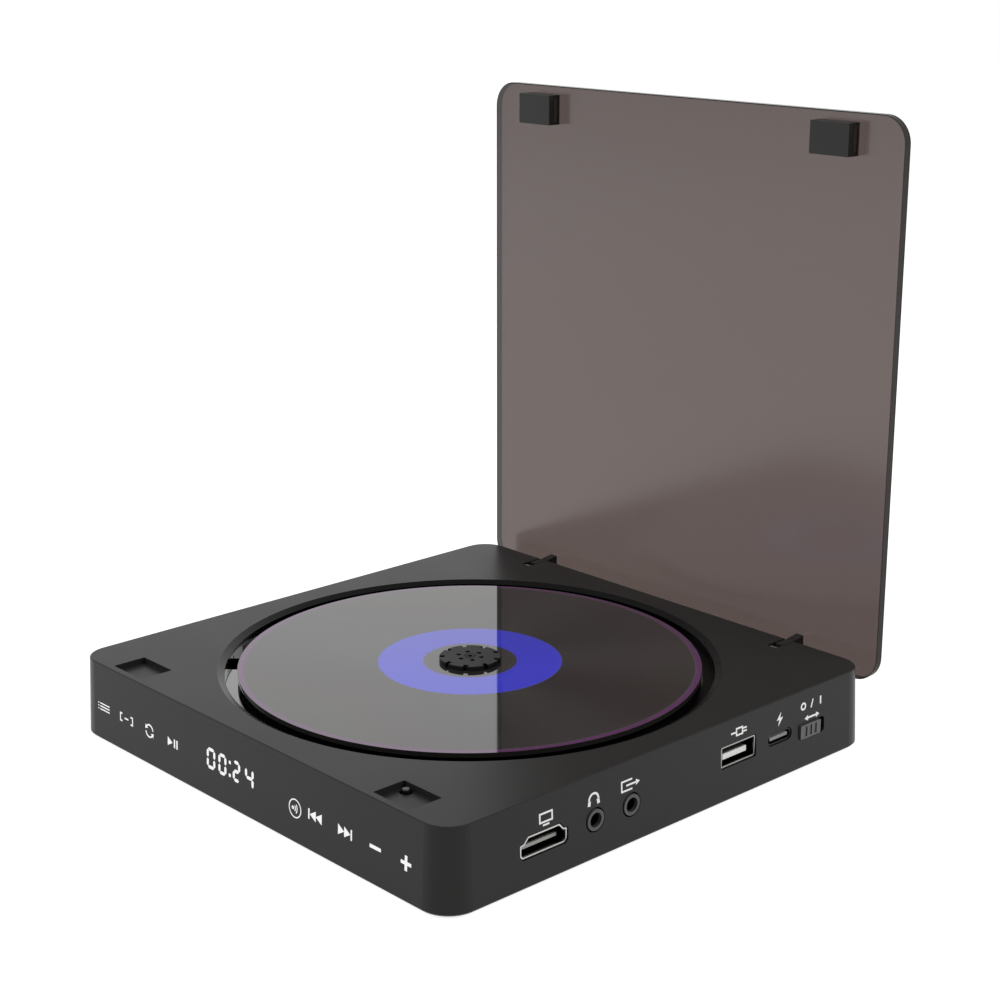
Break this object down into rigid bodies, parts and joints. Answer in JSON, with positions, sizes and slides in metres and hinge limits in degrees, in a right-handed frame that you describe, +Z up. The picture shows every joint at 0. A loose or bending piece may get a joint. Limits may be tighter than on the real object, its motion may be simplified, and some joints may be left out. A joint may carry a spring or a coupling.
{
  "type": "disc player",
  "caption": "Small square portable disc player with a hinged smoked lid, a loaded disc, a travelling pickup, side ports and a sliding power switch.",
  "frame": {"origin": "on the standing plane, the underside of the rubber feet, below the middle of the case and of the disc", "axes": "+X to the right of someone facing the front keys, where the ports are; +Y to the back, where the lid is hinged; +Z up"},
  "size_m": [0.1469, 0.1516, 0.1607],
  "materials": {
    "case_grey": "satin, very fine texture",
    "well_black": "glossy",
    "smoked_clear": "smoked, see-through, polished",
    "block_grey": "satin",
    "disc_silver": "mirrored layer under clear plastic",
    "hub_dark": "satin",
    "black_plastic": "satin",
    "knob_grey": "satin",
    "tongue_grey": "satin",
    "port_steel": "plated",
    "steel": "bright",
    "rubber": "matt",
    "board_green": "solder mask",
    "chip_black": "moulded",
    "spreader": "anodised",
    "copper": "copper foil and wire",
    "film": "film",
    "battery_wrap": "shrink wrap",
    "lens_glass": "coated"
  },
  "bodies": {
    "case": {"top_shell": "case_grey", "bottom_plate": "case_grey", "rubber_feet": "rubber", "case_screws": "steel", "disc_well": "well_black", "well_screws": "steel", "keeper_plates": "steel", "hinge_pins": "steel", "hinge_leaves": "steel", "plunger_spring": "steel", "lid_switch": "black_plastic", "loader_deck": "black_plastic", "deck_dampers": "rubber", "deck_screws": "steel", "guide_rails": "steel", "spindle_motor": "steel", "sled_motor": "steel", "main_board": "board_green", "board_screws": "steel", "main_chip": "chip_black", "heat_spreader": "spreader", "small_chips": "chip_black", "capacitors": "chip_black", "battery_tape": "film", "battery_pack": "battery_wrap", "touch_board": "board_green", "touch_pads": "copper", "display_module": "black_plastic", "remote_receiver": "black_plastic", "front_ribbon": "film", "video_port_shell": "port_steel", "video_port_tongue": "tongue_grey", "headphone_jack": "black_plastic", "picture_jack": "black_plastic", "host_port_shell": "port_steel", "host_port_tongue": "tongue_grey", "charge_port_shell": "port_steel", "charge_port_tongue": "tongue_grey", "port_risers": "black_plastic", "power_switch_body": "black_plastic"},
    "lid": {"lid_panel": "smoked_clear", "lid_block_left": "block_grey", "lid_block_right": "block_grey", "lid_magnets": "steel", "hinge_arm_left": "block_grey", "hinge_arm_right": "block_grey"},
    "spindle": {"spindle_shaft": "steel", "turntable": "hub_dark", "turntable_pad": "rubber", "disc_hub": "hub_dark"},
    "loaded_disc": {"disc": "disc_silver"},
    "pickup": {"pickup_sled": "steel", "pickup_cover": "black_plastic", "focus_coils": "copper", "lead_nut": "black_plastic"},
    "lens": {"lens_holder": "black_plastic", "objective_lens": "lens_glass"},
    "sled_screw": {"lead_screw": "steel"},
    "switch_knob": {"power_knob": "knob_grey"},
    "plunger": {"lid_plunger": "black_plastic"}
  },
  "joints": [
    {"name": "lid_hinge", "type": "hinge", "parent": "case", "child": "lid", "pos_m": [0, 0.07032, 0.01812], "axis": [-1, 0, 0], "range_deg": [-90, 0]},
    {"name": "spindle_spin", "type": "hinge", "parent": "case", "child": "spindle", "pos_m": [0, 0, 0.0197], "axis": [0, 0, 1], "continuous": true},
    {"name": "disc_lift", "type": "slide", "parent": "spindle", "child": "loaded_disc", "axis": [0, 0, 1], "range_m": [0, 0.03]},
    {"name": "pickup_travel", "type": "slide", "parent": "case", "child": "pickup", "axis": [-0.7396, -0.673, 0], "range_m": [0, 0.0345]},
    {"name": "sled_screw_turn", "type": "hinge", "parent": "case", "child": "sled_screw", "pos_m": [-0.00536, -0.03868, 0.01], "axis": [0.7396, 0.673, 0], "range_deg": [-90, 4230]},
    {"name": "lens_focus", "type": "slide", "parent": "pickup", "child": "lens", "axis": [0, 0, 1], "range_m": [-0.0003, 0.0003], "stiffness_N_per_m": 12},
    {"name": "power_slide", "type": "slide", "parent": "case", "child": "switch_knob", "axis": [0, 1, 0], "range_m": [0, 0.0017]},
    {"name": "plunger_press", "type": "slide", "parent": "case", "child": "plunger", "axis": [0, 0, -1], "range_m": [0, 0.001], "deforming": ["plunger_spring"]}
  ],
  "couplings": [
    {"joint": "sled_screw_turn", "follows": "pickup_travel", "rad_per_m": 2094.4},
    {"joint": "plunger_press", "follows": "lid_hinge", "m_per_rad": -0.00048383}
  ]
}
